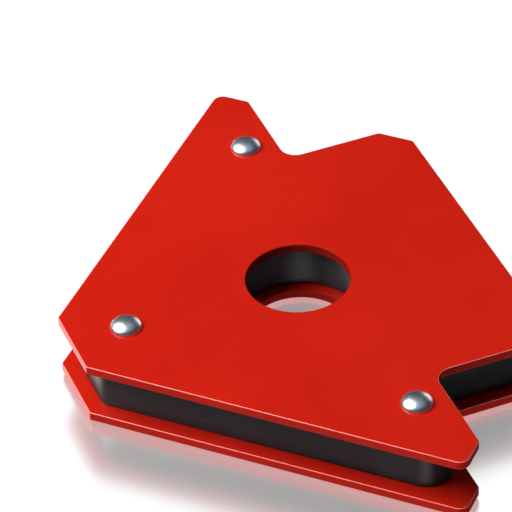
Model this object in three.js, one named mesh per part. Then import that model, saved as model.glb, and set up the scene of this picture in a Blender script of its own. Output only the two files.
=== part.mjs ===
// Arrow-shaped welding magnet holder: two steel pole plates riveted together over ferrite blocks.
// Millimetres, +Z up. The arrow points along -X and its barbs lie towards +Y and -Y.
// It rests on its rivet tails at z = 0, and x = 0 is halfway along the arrow.
import * as THREE from 'three';

// Pole plate outline, measured in plan from the centre of the hole
const apexReach = 48.5; // to the blunt point of the arrow
const stemReach = 39.5; // to the end of the stem
const apexHalf = 8.3; // half the width of the blunt point
const barbBack = 13; // to the back edges of the barbs
const barbTip = 59.5; // half the distance between the outer ends of the back edges
const stemHalf = 37.75; // half the width of the stem
const stemChamfer = 5.5;
const holeRadius = 10.6;

// Corner rounding of the plates
const stampedRadius = 0.6;
const barbRadius = 2.2;
const barbBackRadius = 1;
const notchRadius = 3.4;

// Heights
const tailHeight = 0.75;
const plateThickness = 2;
const plateGap = 10;
const headHeight = 1.75;

// Edge band: a strip bent round the magnets, set back from the plate edges
const bandThickness = 1.2;
const legSetback = 3.2;
const backSetback = 2.2;
const stemSetback = 2.9;
const bandApexRadius = 3.4;
const bandBarbRadius = 5;
const bandNotchRadius = 4.5;
const bandStemRadius = 6;
const bandSeam = 0.4;

// Sleeve that lines the hole between the plates
const sleeveInner = 12.9;
const sleeveOuter = 14.1;

// Ferrite blocks, magnetised through their thickness
const magnetSide = 20;
const magnetThickness = 9.8;
const magnetGap = 1.5;
const magnetClearance = 0.35;
const legMagnetStart = -13.2; // along the leg, from the foot of the hole centre on it

// Rivets and the spacer tubes round their shanks
const apexRivet = 37; // hole centre to the rivet behind the blunt point
const barbRivet = { x: 6.5, y: 44.7 };
const shankRadius = 1.8;
const rivetHoleRadius = 1.95;
const headRadius = 3.25;
const tailRadius = 3.6;
const tailFlatRadius = 2.7;
const spacerOuter = 2.8;

// Facets
const arcStep = Math.PI / 12;
const holeSteps = 56;
const rivetSteps = 28;
const headSteps = 9;

const lowerPlateZ = tailHeight;
const gapZ = lowerPlateZ + plateThickness;
const upperPlateZ = gapZ + plateGap;
const legReach = apexReach + apexHalf; // a leg is the line y = x + legReach
const root2 = Math.SQRT2;

const steelRed = new THREE.MeshStandardMaterial({ color: 0xd22315, roughness: 0.3, metalness: 0 });
const bandBlack = new THREE.MeshStandardMaterial({ color: 0x242224, roughness: 0.35, metalness: 0 });
const ferriteGrey = new THREE.MeshStandardMaterial({ color: 0x35373a, roughness: 0.75, metalness: 0 });
const rivetSteel = new THREE.MeshStandardMaterial({ color: 0xb8bcc0, roughness: 0.2, metalness: 1 });
const spacerAlloy = new THREE.MeshStandardMaterial({ color: 0xa9acaf, roughness: 0.45, metalness: 1 });

const point = (x, y) => new THREE.Vector2(x, y);

// Adds the +Y half's mirror image, in reverse, so that the loop closes.
function mirrored(half) {
  const other = half.map(({ x, y, r }) => ({ x, y: -y, r })).reverse();
  return [...half, ...other];
}

// Points round a closed loop of corners, with each corner replaced by an arc of its radius r.
function roundedLoop(corners) {
  const points = [];
  corners.forEach((corner, i) => {
    const here = point(corner.x, corner.y);
    const before = corners.at(i - 1);
    const after = corners[(i + 1) % corners.length];
    const toBefore = point(before.x, before.y).sub(here).normalize();
    const toAfter = point(after.x, after.y).sub(here).normalize();
    const halfAngle = Math.acos(toBefore.dot(toAfter)) / 2;
    const middle = toBefore.clone().add(toAfter).normalize();
    const centre = here.clone().addScaledVector(middle, corner.r / Math.sin(halfAngle));
    const start = here.clone().addScaledVector(toBefore, corner.r / Math.tan(halfAngle));
    const end = here.clone().addScaledVector(toAfter, corner.r / Math.tan(halfAngle));
    const from = start.sub(centre).angle();
    const to = end.sub(centre).angle();
    const clockwise = toBefore.cross(toAfter) > 0;
    const steps = Math.max(2, Math.ceil((Math.PI - 2 * halfAngle) / arcStep));
    const arc = new THREE.EllipseCurve(centre.x, centre.y, corner.r, corner.r, from, to, clockwise);
    points.push(...arc.getPoints(steps));
  });
  return points;
}

function circle(x, y, radius, steps) {
  const points = new THREE.EllipseCurve(x, y, radius, radius, 0, 2 * Math.PI).getPoints(steps);
  points.pop();
  return points;
}

function extrude(outline, holes, height) {
  const shape = new THREE.Shape(outline);
  shape.holes = holes.map((points) => new THREE.Path(points));
  return new THREE.ExtrudeGeometry(shape, { depth: height, bevelEnabled: false });
}

const rivetPlaces = {
  apex: point(-apexRivet, 0),
  left_barb: point(barbRivet.x, barbRivet.y),
  right_barb: point(barbRivet.x, -barbRivet.y),
};

// The arrow: two legs at a right angle, barbs cut square to the legs, and a chamfered stem.
function plateGeometry() {
  const tipSum = barbBack + barbTip;
  const outline = roundedLoop(mirrored([
    { x: -apexReach, y: apexHalf, r: stampedRadius },
    { x: (tipSum - legReach) / 2, y: (tipSum + legReach) / 2, r: barbRadius },
    { x: barbBack, y: barbTip, r: barbBackRadius },
    { x: barbBack, y: stemHalf, r: notchRadius },
    { x: stemReach - stemChamfer, y: stemHalf, r: stampedRadius },
    { x: stemReach, y: stemHalf - stemChamfer, r: stampedRadius },
  ]));
  const rivetHoles = Object.values(rivetPlaces).map(({ x, y }) =>
    circle(x, y, rivetHoleRadius, rivetSteps));
  return extrude(outline, [circle(0, 0, holeRadius, holeSteps), ...rivetHoles], plateThickness);
}

// One face of the band, as a loop that is set back by depth more than its outer face.
function bandLoop(depth) {
  const apexX = -apexReach + legSetback + depth;
  const backX = barbBack - backSetback - depth;
  const stemX = stemReach - stemSetback - depth;
  const sideY = stemHalf - stemSetback - depth;
  const legLine = legReach - (legSetback + depth) * root2;
  return roundedLoop(mirrored([
    { x: apexX, y: apexX + legLine, r: bandApexRadius - depth },
    { x: backX, y: backX + legLine, r: bandBarbRadius - depth },
    { x: backX, y: sideY, r: bandNotchRadius + depth },
    { x: stemX, y: sideY, r: bandStemRadius - depth },
  ]));
}

// The strip is bent from one length, so it has a seam, in the middle of the stem's end.
function bandGeometry() {
  const half = bandSeam / 2;
  const opened = (depth) => {
    const loop = bandLoop(depth);
    const seamAt = loop.findIndex((p, i) => i > 0 && loop[i - 1].y > 0 && p.y < 0 && p.x > 0);
    const seamX = loop[seamAt].x;
    return [point(seamX, -half), ...loop.slice(seamAt), ...loop.slice(0, seamAt), point(seamX, half)];
  };
  return extrude([...opened(0), ...opened(bandThickness).reverse()], [], plateGap);
}

function tubeGeometry(outer, inner, steps) {
  return extrude(circle(0, 0, outer, steps), [circle(0, 0, inner, steps)], plateGap);
}

// A solid rivet on the Z axis from z = 0: flattened tail, shank through both plates, oval head.
function rivetGeometry() {
  const top = upperPlateZ + plateThickness;
  const head = new THREE.EllipseCurve(0, top, headRadius, headHeight, 0, Math.PI / 2);
  const profile = [
    point(0, 0),
    point(tailFlatRadius, 0),
    point(tailRadius, tailHeight / 2),
    point(tailRadius, tailHeight),
    point(shankRadius, tailHeight),
    point(shankRadius, top),
    ...head.getPoints(headSteps).slice(0, -1),
    point(0, top + headHeight),
  ];
  return new THREE.LatheGeometry(profile, rivetSteps).rotateX(Math.PI / 2);
}

const holder = new THREE.Group();
holder.position.x = (apexReach - stemReach) / 2;

function add(name, geometry, material, x, y, z, turn = 0) {
  const mesh = new THREE.Mesh(geometry, material);
  mesh.name = name;
  mesh.position.set(x, y, z);
  mesh.rotation.z = turn;
  holder.add(mesh);
}

const plate = plateGeometry();
add('lower_plate', plate, steelRed, 0, 0, lowerPlateZ);
add('upper_plate', plate, steelRed, 0, 0, upperPlateZ);
add('edge_band', bandGeometry(), bandBlack, 0, 0, gapZ);
add('hole_sleeve', tubeGeometry(sleeveOuter, sleeveInner, holeSteps), bandBlack, 0, 0, gapZ);

const rivet = rivetGeometry();
const spacer = tubeGeometry(spacerOuter, rivetHoleRadius, rivetSteps);
for (const [place, { x, y }] of Object.entries(rivetPlaces)) {
  add(`rivet_${place}`, rivet, rivetSteel, x, y, 0);
  add(`spacer_${place}`, spacer, spacerAlloy, x, y, gapZ);
}

// Two blocks lie along each leg and three stand in a row across the stem.
const block = new THREE.BoxGeometry(magnetSide, magnetSide, magnetThickness);
const magnetZ = gapZ + plateGap / 2;
const magnetPitch = magnetSide + magnetGap;
const offLeg = sleeveOuter + magnetClearance + magnetSide / 2;
for (const [side, sign] of [['left', 1], ['right', -1]]) {
  for (const [place, step] of [['front', 0], ['rear', 1]]) {
    const along = legMagnetStart + magnetSide / 2 + step * magnetPitch;
    const x = (along - offLeg) / root2;
    const y = (sign * (along + offLeg)) / root2;
    add(`magnet_${side}_leg_${place}`, block, ferriteGrey, x, y, magnetZ, (sign * Math.PI) / 4);
  }
}
for (const [place, step] of [['left', 1], ['middle', 0], ['right', -1]]) {
  add(`magnet_stem_${place}`, block, ferriteGrey, offLeg, step * magnetPitch, magnetZ);
}

export default holder;
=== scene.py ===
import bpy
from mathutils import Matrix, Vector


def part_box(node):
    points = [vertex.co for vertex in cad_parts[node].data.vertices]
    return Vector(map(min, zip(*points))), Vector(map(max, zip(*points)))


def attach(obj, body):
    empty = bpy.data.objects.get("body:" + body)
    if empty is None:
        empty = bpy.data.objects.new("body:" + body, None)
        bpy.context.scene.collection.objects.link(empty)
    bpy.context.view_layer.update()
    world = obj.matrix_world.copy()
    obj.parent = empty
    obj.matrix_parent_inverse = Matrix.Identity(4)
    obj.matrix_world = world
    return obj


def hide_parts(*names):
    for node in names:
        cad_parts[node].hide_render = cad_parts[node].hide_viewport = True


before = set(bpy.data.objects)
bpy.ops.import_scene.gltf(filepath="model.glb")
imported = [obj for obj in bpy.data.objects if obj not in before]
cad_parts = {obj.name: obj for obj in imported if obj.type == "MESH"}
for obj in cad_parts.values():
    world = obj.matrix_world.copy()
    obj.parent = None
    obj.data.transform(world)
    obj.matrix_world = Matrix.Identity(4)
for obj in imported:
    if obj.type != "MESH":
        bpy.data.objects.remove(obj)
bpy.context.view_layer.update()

import math

import bmesh
import bpy
from mathutils import Quaternion, Vector

# Metres, +Z up, with the arrow's blunt point towards -X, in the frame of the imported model.
MM = 0.001

sleeve_low, sleeve_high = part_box("hole_sleeve")
HOLE_X = (sleeve_low.x + sleeve_high.x) / 2
PLATE_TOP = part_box("upper_plate")[1].z
PLATE_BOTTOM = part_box("lower_plate")[0].z

# Sizes that the nodes' boxes don't give
SLEEVE_WALL = 1.2 * MM
SHANK_RADIUS = 1.8 * MM
SPACER_BORE = 1.95 * MM  # radius
HEAD_RADIUS = 3.25 * MM
TAIL_FLAT = 2.5 * MM  # radius

# How far the sharp edges are rounded or chamfered
PLATE_EDGE = 0.25 * MM
STRIP_EDGE = 0.18 * MM
SLEEVE_EDGE = 0.25 * MM
SPACER_EDGE = 0.25 * MM
FERRITE_EDGE = 0.45 * MM
WELD = 0.001 * MM  # vertices closer than this are one


# ---- Shader nodes ----

class Signal:
    """The output of a node. Arithmetic on it adds Math nodes."""

    def __init__(self, finish, output):
        self.finish, self.output = finish, output

    def math(self, operation, *terms, **settings):
        settings["operation"] = operation
        return self.finish.add("ShaderNodeMath", settings, dict(enumerate(terms)))

    def __add__(self, other):
        return self.math("ADD", self, other)

    def __sub__(self, other):
        return self.math("SUBTRACT", self, other)

    def __rsub__(self, other):
        return self.math("SUBTRACT", other, self)

    def __mul__(self, other):
        return self.math("MULTIPLY", self, other)

    def __pow__(self, other):
        return self.math("POWER", self, other)

    __radd__ = __add__
    __rmul__ = __mul__

    def clamped(self):
        """Held between 0 and 1."""
        return self.math("ADD", self, 0.0, use_clamp=True)

    def sine(self):
        return self.math("SINE", self)

    def above(self, low, high):
        """0 below low, 1 above high and smooth between them."""
        settings = {"interpolation_type": "SMOOTHSTEP"}
        sockets = {"Value": self, "From Min": low, "From Max": high}
        return self.finish.add("ShaderNodeMapRange", settings, sockets)


class Finish:
    """A tree of shader nodes, of a new material or of the world."""

    def __init__(self, owner):
        self.owner = owner
        owner.use_nodes = True
        self.tree = owner.node_tree
        self.tree.nodes.clear()

    def add(self, kind, settings=None, sockets=None, out=0):
        """A node of that kind, with its settings, then the values or links of its sockets."""
        node = self.tree.nodes.new(kind)
        for name, value in (settings or {}).items():
            setattr(node, name, value)
        for name, value in (sockets or {}).items():
            if isinstance(value, Signal):
                self.tree.links.new(value.output, node.inputs[name])
            else:
                node.inputs[name].default_value = value
        return Signal(self, node.outputs[out]) if node.outputs else None

    def place(self):
        """The place on the surface, in metres."""
        return self.add("ShaderNodeTexCoord", out="Object")

    def split(self, vector):
        """The x, y and z of a vector."""
        parts = self.add("ShaderNodeSeparateXYZ", sockets={"Vector": vector})
        return [Signal(self, output) for output in parts.output.node.outputs]

    def stretched(self, vector, scale):
        settings = {"operation": "MULTIPLY"}
        return self.add("ShaderNodeVectorMath", settings, {0: vector, 1: scale})

    def noise(self, per_mm, detail=2.0, vector=None):
        sockets = {"Vector": vector or self.place(), "Scale": per_mm / MM, "Detail": detail}
        return self.add("ShaderNodeTexNoise", sockets=sockets, out="Fac")

    def specks(self, per_mm):
        sockets = {"Vector": self.place(), "Scale": per_mm / MM}
        return self.add("ShaderNodeTexVoronoi", sockets=sockets, out="Distance")

    def mix(self, amount, first, second):
        """From one colour to the other as amount goes from 0 to 1."""
        settings = {"data_type": "RGBA"}
        sockets = {0: amount, 6: first, 7: second}
        return self.add("ShaderNodeMix", settings, sockets, out=2)

    def bump(self, height, millimetres):
        sockets = {"Height": height, "Distance": millimetres * MM}
        return self.add("ShaderNodeBump", sockets=sockets)

    def lean(self):
        """How far the surface faces up: 1 on top, 0 on the sides and -1 underneath."""
        return self.split(self.add("ShaderNodeNewGeometry", out="Normal"))[2]

    def rounded_edge(self):
        """1 halfway round an edge between a level face and an upright one, and 0 on both faces."""
        level = self.lean() ** 2.0
        return (4.0 * level * (1.0 - level)).clamped()

    def shine(self, **sockets):
        """The Principled shader, with its sockets' names written with underscores."""
        named = {name.replace("_", " "): value for name, value in sockets.items()}
        shader = self.add("ShaderNodeBsdfPrincipled", sockets=named)
        self.add("ShaderNodeOutputMaterial", sockets={"Surface": shader})
        return self.owner


def finish(name):
    return Finish(bpy.data.materials.new(name))


def rgb(red, green, blue):
    return (red, green, blue, 1.0)


# ---- Finishes ----

def gloss_red_paint():
    """Gloss enamel over sheet steel: an even red with orange peel, a pale painted highlight line
    along the upper outer edges, and painted shade in the hole, where the red is darker and the coat
    weaker."""
    paint = finish("gloss_red_paint")
    x, y, _ = paint.split(paint.place())
    along = x - HOLE_X
    outer = ((along * along + y * y) ** 0.5).above(11.5 * MM, 13.0 * MM)
    cloud = paint.noise(0.03, detail=3.0)
    peel = paint.noise(0.55)
    fine = paint.noise(2.6)
    dust = 1.0 - paint.specks(0.35).above(0.035, 0.075)
    # painted highlight: a pale line on the rounded edges that face up, outside the hole
    edge = paint.rounded_edge().above(0.35, 0.9) * paint.lean().above(0.05, 0.3) * outer
    # painted shade: the red in the hole is darker and its coat weaker
    hole_shade_mask = (1.0 - outer) * (1.0 - (paint.lean() ** 2.0).above(0.85, 0.99))
    shade = paint.mix(cloud.above(0.35, 0.7), rgb(0.412, 0.0093, 0.0036), rgb(0.448, 0.0116, 0.0044))
    hole_shaded = paint.mix(hole_shade_mask * 0.6, shade, rgb(0.10, 0.006, 0.003))
    edge_highlight = paint.mix(edge * (0.7 + 0.5 * peel).clamped(), hole_shaded, rgb(0.90, 0.24, 0.20))
    red = paint.mix(dust * 0.12, edge_highlight, rgb(0.52, 0.08, 0.06))
    height = peel + fine * 0.18 + dust * 0.25
    return paint.shine(
        Base_Color=red,
        Roughness=0.4 + 0.12 * cloud,
        Specular_IOR_Level=0.0,
        Coat_Weight=0.36 - 0.28 * hole_shade_mask,
        Coat_Roughness=0.14,
        Normal=paint.bump(height, 0.012),
    )


def black_strip():
    """Semi-gloss black plastic with fine lines along its length from the extruder's die, which
    draw its gloss out into upright streaks."""
    strip = finish("black_strip")
    drawn = strip.stretched(strip.place(), (0.12, 0.12, 1.0))
    lines = strip.noise(3.0, detail=3.0, vector=drawn)
    mottle = strip.noise(0.12, detail=3.0)
    grain = strip.noise(5.0)
    scuff = strip.noise(0.9, detail=4.0, vector=drawn).above(0.62, 0.74)
    black = strip.mix(mottle.above(0.3, 0.75), rgb(0.0105, 0.010, 0.012), rgb(0.016, 0.0152, 0.0175))
    return strip.shine(
        Base_Color=strip.mix(scuff * 0.3, black, rgb(0.06, 0.057, 0.06)),
        Roughness=0.32 + 0.1 * mottle + 0.14 * scuff,
        Specular_IOR_Level=0.4,
        Anisotropic=0.85,
        Anisotropic_Rotation=0.25,
        Normal=strip.bump(lines * 0.7 + grain * 0.3, 0.02),
    )


def bright_rivet_steel():
    """Bright zinc over a cold headed rivet, slightly uneven, with faint handling marks."""
    steel = finish("bright_rivet_steel")
    cloud = steel.noise(0.5, detail=3.0)
    grain = steel.noise(9.0)
    brushed = steel.stretched(steel.place(), (1.0, 0.2, 0.3))
    marks = steel.noise(2.4, detail=4.0, vector=brushed).above(0.6, 0.72)
    zinc = steel.mix(cloud.above(0.3, 0.7), rgb(0.66, 0.70, 0.74), rgb(0.80, 0.82, 0.84))
    return steel.shine(
        Base_Color=steel.mix(marks * 0.35, zinc, rgb(0.50, 0.52, 0.55)),
        Metallic=1.0,
        Roughness=0.28 + 0.06 * cloud + 0.1 * marks,
        Normal=steel.bump(grain * 0.3 + cloud * 0.7, 0.008),
    )


def turned_aluminium():
    """Aluminium cut on a lathe, with fine rings of tool marks."""
    alloy = finish("turned_aluminium")
    ring_pitch = 0.25 * MM
    height = alloy.split(alloy.place())[2]
    tool = (height * (2.0 * math.pi / ring_pitch)).sine()
    stain = alloy.noise(0.4, detail=4.0)
    metal = alloy.mix(stain.above(0.4, 0.7), rgb(0.62, 0.63, 0.64), rgb(0.74, 0.75, 0.76))
    return alloy.shine(
        Base_Color=metal,
        Metallic=1.0,
        Roughness=0.36 + 0.14 * stain,
        Normal=alloy.bump(tool, 0.006),
    )


def sintered_ferrite():
    """Charcoal ceramic, ground on its two poles, with pores and a fine grain."""
    ferrite = finish("sintered_ferrite")
    blotch = ferrite.noise(0.25, detail=4.0)
    pores = 1.0 - ferrite.specks(1.6).above(0.10, 0.22)
    grain = ferrite.noise(7.0, detail=3.0)
    edge = ferrite.rounded_edge()
    grey = ferrite.mix(blotch.above(0.35, 0.7), rgb(0.026, 0.027, 0.030), rgb(0.048, 0.050, 0.054))
    worn = ferrite.mix(edge * 0.5, grey, rgb(0.09, 0.092, 0.098))
    return ferrite.shine(
        Base_Color=ferrite.mix(pores * 0.7, worn, rgb(0.010, 0.010, 0.011)),
        Roughness=0.55 + 0.25 * grain,
        Normal=ferrite.bump(grain * 0.5 - pores, 0.03),
    )


def glossy_white_floor():
    """Opal acrylic, lit from inside, with a satin face that mirrors what stands on it."""
    acrylic = finish("glossy_white_floor")
    drift = acrylic.noise(0.004)
    white = acrylic.mix(drift, rgb(0.97, 0.97, 0.97), rgb(1.0, 1.0, 1.0))
    glow = acrylic.add("ShaderNodeEmission", sockets={"Color": white, "Strength": 1.05})
    mirror = acrylic.add("ShaderNodeBsdfGlossy", sockets={"Color": white, "Roughness": 0.25})
    polish = 0.7
    surface = acrylic.add("ShaderNodeMixShader", sockets={0: polish, 1: glow, 2: mirror})
    acrylic.add("ShaderNodeOutputMaterial", sockets={"Surface": surface})
    return acrylic.owner


# ---- Pieces ----

def shown(name, mesh, finish_of, nodes, turn_limit=30.0):
    """A finished piece on the fixed body, smooth but for turns sharper than the limit in degrees."""
    piece = bpy.data.objects.new(name, mesh)
    bpy.context.scene.collection.objects.link(piece)
    mesh.polygons.foreach_set("use_smooth", [True] * len(mesh.polygons))
    mesh.set_sharp_from_angle(angle=math.radians(turn_limit))
    mesh.materials.clear()
    mesh.materials.append(finish_of)
    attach(piece, "root")
    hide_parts(*nodes)
    return piece


def cleaned(node):
    """A copy of a CAD node's mesh, with its vertices merged and its flat faces made whole."""
    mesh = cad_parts[node].data.copy()
    sheet = bmesh.new()
    sheet.from_mesh(mesh)
    bmesh.ops.remove_doubles(sheet, verts=sheet.verts, dist=WELD)
    bmesh.ops.dissolve_limit(
        sheet,
        angle_limit=math.radians(1.0),
        use_dissolve_boundaries=False,
        verts=sheet.verts,
        edges=sheet.edges,
    )
    bmesh.ops.recalc_face_normals(sheet, faces=sheet.faces)
    sheet.to_mesh(mesh)
    sheet.free()
    return mesh


def softened(name, node, width, finish_of, segments, corner=50.0):
    """A CAD node with the edges sharper than corner, in degrees, rounded inside its own outline."""
    piece = shown(name, cleaned(node), finish_of, [node])
    rounding = piece.modifiers.new("rounded_edges", "BEVEL")
    rounding.width = width
    rounding.segments = segments
    rounding.limit_method = "ANGLE"
    rounding.angle_limit = math.radians(corner)
    rounding.use_clamp_overlap = False
    rounding.harden_normals = True
    return piece


def outline_loops(node):
    """Plan points round a CAD plate's top face: a closed loop for its outline and for each hole."""
    sheet = bmesh.new()
    sheet.from_mesh(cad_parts[node].data)
    bmesh.ops.remove_doubles(sheet, verts=sheet.verts, dist=WELD)
    level, upright = 0.99, 0.5  # the least that a top face leans up, and the most that a side does
    follows = {}
    for face in sheet.faces:
        if face.normal.z < level:
            continue
        for corner in face.loops:
            if corner.link_loop_radial_next.face.normal.z < upright:
                follows[corner.vert] = corner.link_loop_next.vert
    loops = []
    while follows:
        here = next(iter(follows))
        loop = []
        while here in follows:
            here = follows.pop(here)
            loop.append(here.co.xy.copy())
        loops.append(loop)
    sheet.free()
    return loops


def outward(before, here, after):
    """At a point of a loop: its move for an outward offset of 1, and the way the side faces there."""
    first, second = here - before, after - here
    one = Vector((first.y, -first.x)).normalized()
    two = Vector((second.y, -second.x)).normalized()
    facing = (one * first.length + two * second.length).normalized()
    return (one + two) / (1 + one.dot(two)), facing


def painted_plate(name, node):
    """A plate on the CAD plate's outline, with its upper and lower edges rounded inside it."""
    low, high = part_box(node)
    tilts = (0, 23, 45, 68, 90)
    rows = [(low.z + PLATE_EDGE, math.radians(-tilt)) for tilt in reversed(tilts)]
    rows += [(high.z - PLATE_EDGE, math.radians(tilt)) for tilt in tilts]
    work = bmesh.new()
    normals = []
    underside, topside = [], []
    for loop in outline_loops(node):
        columns = []
        for i, here in enumerate(loop):
            step, facing = outward(loop[i - 1], here, loop[(i + 1) % len(loop)])
            column = []
            for height, tilt in rows:
                place = here - step * PLATE_EDGE * (1 - math.cos(tilt))
                column.append(work.verts.new((*place, height + PLATE_EDGE * math.sin(tilt))))
                normals.append(Vector((*(facing * math.cos(tilt)), math.sin(tilt))))
            columns.append(column)
        for one, two in zip(columns, columns[1:] + columns[:1]):
            for k in range(len(rows) - 1):
                work.faces.new((one[k], two[k], two[k + 1], one[k + 1]))
            underside.append(work.edges.get((one[0], two[0])))
            topside.append(work.edges.get((one[-1], two[-1])))
    for rim, way in ((underside, -1), (topside, 1)):
        bmesh.ops.triangle_fill(work, use_beauty=True, edges=rim, normal=(0, 0, way))
    bmesh.ops.recalc_face_normals(work, faces=work.faces)
    mesh = bpy.data.meshes.new(name)
    work.to_mesh(mesh)
    work.free()
    piece = shown(name, mesh, PAINT, [node])
    mesh.normals_split_custom_set_from_vertices(normals)
    return piece


def lathed(profile, centre, steps):
    """A mesh turned on the upright axis through centre, from (radius, height) pairs."""
    mesh = bpy.data.meshes.new("lathed")
    work = bmesh.new()
    rings = []
    for radius, height in profile:
        if radius == 0:
            rings.append([work.verts.new((centre.x, centre.y, height))])
            continue
        turns = [2 * math.pi * step / steps for step in range(steps)]
        rings.append([
            work.verts.new((centre.x + radius * math.cos(a), centre.y + radius * math.sin(a), height))
            for a in turns
        ])
    for below, above in zip(rings, rings[1:]):
        for step in range(steps):
            after = (step + 1) % steps
            corners = [below[step % len(below)], below[after % len(below)]]
            corners += [above[after % len(above)], above[step % len(above)]]
            work.faces.new(list(dict.fromkeys(corners)))
    bmesh.ops.recalc_face_normals(work, faces=work.faces)
    work.to_mesh(mesh)
    work.free()
    return mesh


def arc(centre, radius, start, end, steps):
    """(radius, height) pairs along an arc. 0 degrees is outwards and 90 is up."""
    angles = [math.radians(start + (end - start) * step / steps) for step in range(steps + 1)]
    return [(centre[0] + radius * math.cos(a), centre[1] + radius * math.sin(a)) for a in angles]


def oval(radius, base, height, steps):
    """(radius, height) pairs along a quarter of an ellipse, from its rim on base to its top."""
    angles = [math.pi / 2 * step / steps for step in range(steps + 1)]
    return [(radius * math.cos(a), base + height * math.sin(a)) for a in angles]


def middle(low, high):
    """The middle of a box, in plan."""
    return Vector(((low.x + high.x) / 2, (low.y + high.y) / 2, 0))


def set_rivet(place):
    """Solid rivet: oval head above, shank, and a tail spread below."""
    low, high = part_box(f"rivet_{place}")
    tail_radius = (high.x - low.x) / 2
    dish = 0.06 * MM  # hollow that the set leaves in the middle of the tail
    flat_round = 0.2 * MM
    side_round = 0.3 * MM
    profile = [(0, dish), (1.1 * MM, dish / 2)]
    profile += arc((TAIL_FLAT, flat_round), flat_round, -90, -60, 2)
    bulge_height = PLATE_BOTTOM - 0.36 * MM
    profile += arc((tail_radius - side_round, bulge_height), side_round, -50, 60, 6)
    profile += [(tail_radius - 0.25 * MM, PLATE_BOTTOM), (SHANK_RADIUS, PLATE_BOTTOM)]
    profile += [(SHANK_RADIUS, PLATE_TOP)]
    profile += oval(HEAD_RADIUS, PLATE_TOP, high.z - PLATE_TOP, steps=24)[:-1]
    profile += [(0, high.z)]
    mesh = lathed(profile, middle(low, high), steps=72)
    return shown(f"set_rivet_{place}", mesh, RIVET, [f"rivet_{place}"], 40.0)


def spacer_tube(place):
    """Turned tube round a rivet's shank, chamfered at both ends."""
    low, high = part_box(f"spacer_{place}")
    outer, inner, nip = (high.x - low.x) / 2, SPACER_BORE, SPACER_EDGE
    profile = [
        (inner + nip, low.z), (outer - nip, low.z), (outer, low.z + nip), (outer, high.z - nip),
        (outer - nip, high.z), (inner + nip, high.z), (inner, high.z - nip), (inner, low.z + nip),
    ]
    mesh = lathed(profile + profile[:1], middle(low, high), steps=48)
    return shown(f"spacer_tube_{place}", mesh, SPACER, [f"spacer_{place}"])


def lining_sleeve():
    """Black sleeve between the plates, moulded with small radii at its ends."""
    outer = (sleeve_high.x - sleeve_low.x) / 2
    inner = outer - SLEEVE_WALL
    edge = SLEEVE_EDGE
    low, high = sleeve_low.z, sleeve_high.z
    profile = arc((outer - edge, low + edge), edge, -90, 0, 4)
    profile += arc((outer - edge, high - edge), edge, 0, 90, 4)
    profile += arc((inner + edge, high - edge), edge, 90, 180, 4)
    profile += arc((inner + edge, low + edge), edge, 180, 270, 4)
    mesh = lathed(profile + profile[:1], middle(sleeve_low, sleeve_high), steps=120)
    return shown("lining_sleeve", mesh, STRIP, ["hole_sleeve"])


def ferrite_block(node):
    """A ground block with its edges broken."""
    return softened(f"ferrite_{node}", node, FERRITE_EDGE, FERRITE, segments=2)


PAINT = gloss_red_paint()
STRIP = black_strip()
RIVET = bright_rivet_steel()
SPACER = turned_aluminium()
FERRITE = sintered_ferrite()

painted_plate("painted_upper_plate", "upper_plate")
painted_plate("painted_lower_plate", "lower_plate")
softened("black_edge_strip", "edge_band", STRIP_EDGE, STRIP, segments=3, corner=60.0)
lining_sleeve()
for place in ("apex", "left_barb", "right_barb"):
    set_rivet(place)
    spacer_tube(place)
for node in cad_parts:
    if node.startswith("magnet_"):
        ferrite_block(node)


# ---- Floor, light and camera ----

def floor():
    """A wide white board at the height that the rivet tails rest on."""
    mesh = bpy.data.meshes.new("floor")
    work = bmesh.new()
    bmesh.ops.create_grid(work, x_segments=1, y_segments=1, size=1.5)
    work.to_mesh(mesh)
    work.free()
    mesh.materials.append(glossy_white_floor())
    board = bpy.data.objects.new("floor", mesh)
    bpy.context.scene.collection.objects.link(board)
    # the board mirrors the holder, but doesn't light it, show in its gloss or shade it
    board.visible_diffuse = board.visible_glossy = board.visible_shadow = False
    return board


def direction(azimuth, elevation):
    """Unit vector towards a place round the holder. Azimuth 0 is towards -Y and 90 towards +X."""
    a, e = math.radians(azimuth), math.radians(elevation)
    return Vector((math.sin(a) * math.cos(e), -math.cos(a) * math.cos(e), math.sin(e)))


def softbox(name, azimuth, elevation, distance, width, height, brightness, shape="RECTANGLE"):
    """A light that faces the holder, distance metres from the middle of the floor. The floor's own
    glow has a brightness of about 1."""
    light = bpy.data.lights.new(name, "AREA")
    light.shape = shape
    light.size, light.size_y = width, height
    area = width * height * (math.pi / 4 if shape == "ELLIPSE" else 1.0)
    watts = 4.0  # for a brightness of 1 over a square metre
    light.energy = watts * brightness * area
    box = bpy.data.objects.new(name, light)
    towards = direction(azimuth, elevation)
    box.location = towards * distance
    box.rotation_mode = "QUATERNION"
    box.rotation_quaternion = towards.to_track_quat("Z", "Y")
    box.visible_camera = False
    bpy.context.scene.collection.objects.link(box)
    return box


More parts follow.
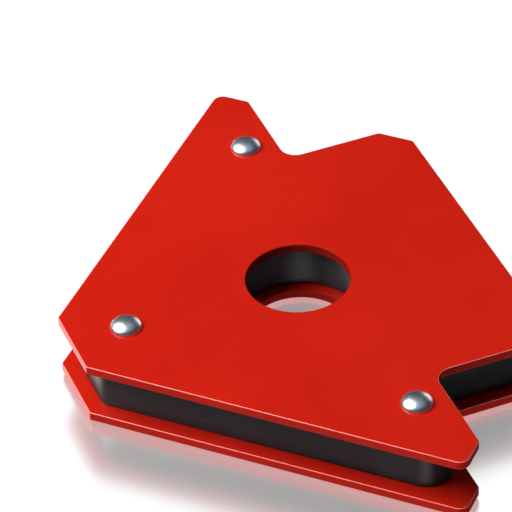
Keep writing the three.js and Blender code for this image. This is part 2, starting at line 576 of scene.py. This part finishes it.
def studio():
    """A white backdrop, which only the camera sees, and the dim room that the holder's gloss
    mirrors: a ceiling that is pale overhead, and pale patches of table below the horizon."""
    world = bpy.data.worlds.new("studio")
    bpy.context.scene.world = world
    sky = Finish(world)
    east, north, up = sky.split(sky.add("ShaderNodeTexCoord", out="Generated"))
    ceiling = sky.mix(up.above(0.72, 1.0), rgb(0.040, 0.047, 0.056), rgb(0.23, 0.31, 0.42))
    room = sky.mix(up.above(-0.25, 0.1), rgb(0.16, 0.16, 0.165), ceiling)
    table = 1.0 - up.above(-0.1, 0.02)
    # azimuth, elevation, angles from a patch's middle to its edge and to where it is full, brightness
    patches = (
        (-160.0, -39.0, 50.0, 18.0, 2.6),
        (-75.0, -39.0, 34.0, 12.0, 0.3),
        (-28.0, -9.0, 33.0, 10.0, 3.4),
        (-95.0, -8.0, 42.0, 5.0, 0.6),
        (0.0, -90.0, 42.0, 22.0, 1.0),
        (-162.0, -14.0, 30.0, 12.0, 6.0),
    )
    for azimuth, elevation, edge, full, brightness in patches:
        way = direction(azimuth, elevation)
        facing = east * way.x + north * way.y + up * way.z
        patch = facing.above(math.cos(math.radians(edge)), math.cos(math.radians(full)))
        room = sky.mix(patch * table, room, rgb(brightness, brightness, brightness))
    seen = sky.add("ShaderNodeLightPath", out="Is Camera Ray")
    backdrop = sky.mix(seen, room, rgb(1.0, 1.0, 1.0))
    light = sky.add("ShaderNodeBackground", sockets={"Color": backdrop, "Strength": 1.0})
    sky.add("ShaderNodeOutputWorld", sockets={"Surface": light})


def floor_tent(board):
    """White cards all round, which only the board mirrors."""
    receivers = bpy.data.collections.new("floor_tent_receivers")
    receivers.objects.link(board)
    for side in range(4):
        azimuth = 159.7 + 90.0 * side  # the first card is across the board from the camera
        card = softbox(
            f"floor_card_{side}", azimuth, elevation=36.0, distance=1.7,
            width=3.4, height=2.4, brightness=0.82,
        )
        card.visible_diffuse = False
        card.light_linking.receiver_collection = receivers


def camera():
    """A long lens at the front left, looking down on the leg and the near barb."""
    azimuth, elevation, roll = -20.26, 39.02, -2.56
    aim = Vector((HOLE_X - 5.10 * MM, 10.02 * MM, PLATE_TOP))
    distance = 756.4 * MM
    lens = bpy.data.cameras.new("camera")
    lens.sensor_width = 36.0
    lens.lens = 261.75
    lens.clip_start, lens.clip_end = 0.05, 50.0
    body = bpy.data.objects.new("camera", lens)
    back = direction(azimuth, elevation)
    body.location = aim + back * distance
    body.rotation_mode = "QUATERNION"
    level = back.to_track_quat("Z", "Y")
    body.rotation_quaternion = Quaternion(back, math.radians(roll)) @ level
    bpy.context.scene.collection.objects.link(body)
    bpy.context.scene.camera = body


bpy.context.scene.view_settings.view_transform = "Standard"
studio()
floor_tent(floor())
softbox(
    "key", azimuth=-112.0, elevation=51.5, distance=0.62,
    width=0.56, height=0.56, brightness=8.0, shape="ELLIPSE",
)
softbox(
    "rim", azimuth=125.0, elevation=11.0, distance=1.4,
    width=0.95, height=0.62, brightness=1.15, shape="ELLIPSE",
)
camera()
